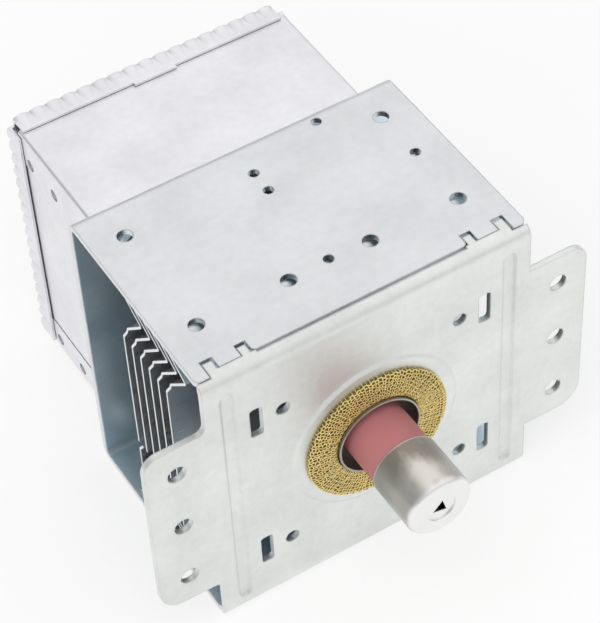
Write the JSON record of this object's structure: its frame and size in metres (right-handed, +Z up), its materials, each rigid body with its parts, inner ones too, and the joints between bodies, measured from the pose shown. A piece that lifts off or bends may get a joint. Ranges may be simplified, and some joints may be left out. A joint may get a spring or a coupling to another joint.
{
  "type": "magnetron",
  "caption": "Cavity microwave tube in a folded steel yoke with stacked cooling fins, ring magnets, a capped antenna with a knitted gasket, an eared mounting plate and a crimped filter box.",
  "frame": {"origin": "where the antenna's axis crosses the front face of the mounting plate", "axes": "-Y along the antenna, out of the mounting plate; +Z up towards the yoke's top plate; +X towards the side of the filter box that carries the connector"},
  "size_m": [0.1116, 0.12, 0.0786],
  "materials": {
    "plated_steel": "satin zinc plating",
    "filter_steel": "satin zinc plating",
    "fin_aluminium": "mill finish",
    "magnet_ferrite": "matte ground ferrite",
    "pole_iron": "plated iron",
    "anode_copper": "bare copper",
    "gasket_brass": "knitted brass wire",
    "seal_metal": "satin",
    "cap_steel": "brushed round the axis",
    "alumina": "matte fired ceramic",
    "cathode_metal": "bare tungsten and molybdenum",
    "terminal_metal": "nickel plated",
    "choke_wire": "enamelled copper",
    "ferrite_core": "matte ferrite",
    "capacitor_body": "moulded resin",
    "connector_plastic": "fine matte",
    "spade_tin": "tinned"
  },
  "bodies": {
    "root": {"yoke_channel": "plated_steel", "mounting_plate": "plated_steel", "magnet_front": "magnet_ferrite", "magnet_rear": "magnet_ferrite", "cooling_fin_1": "fin_aluminium", "cooling_fin_2": "fin_aluminium", "cooling_fin_3": "fin_aluminium", "cooling_fin_4": "fin_aluminium", "cooling_fin_5": "fin_aluminium", "cooling_fin_6": "fin_aluminium", "rf_gasket": "gasket_brass", "output_seal": "seal_metal", "output_ceramic": "alumina", "antenna_cap": "cap_steel", "exhaust_tube": "anode_copper", "antenna_lead": "anode_copper", "pole_piece_front": "pole_iron", "pole_piece_rear": "pole_iron", "anode_shell": "anode_copper", "anode_vanes": "anode_copper", "strap_front_inner": "anode_copper", "strap_front_outer": "anode_copper", "strap_rear_inner": "anode_copper", "strap_rear_outer": "anode_copper", "cathode_filament": "cathode_metal", "end_shield_front": "cathode_metal", "end_shield_rear": "cathode_metal", "centre_lead": "cathode_metal", "side_lead": "cathode_metal", "stem_seal": "seal_metal", "stem_ceramic": "alumina", "stem_terminal_centre": "terminal_metal", "stem_terminal_side": "terminal_metal", "filter_box": "filter_steel", "filter_box_cover": "filter_steel", "filter_box_rivets": "terminal_metal", "choke_coil_upper": "choke_wire", "choke_coil_lower": "choke_wire", "ferrite_rod_upper": "ferrite_core", "ferrite_rod_lower": "ferrite_core", "capacitor_case": "capacitor_body", "capacitor_flange": "terminal_metal", "capacitor_rivets": "terminal_metal", "connector_housing": "connector_plastic", "spade_terminal_upper": "spade_tin", "spade_terminal_lower": "spade_tin"}
  },
  "joints": []
}
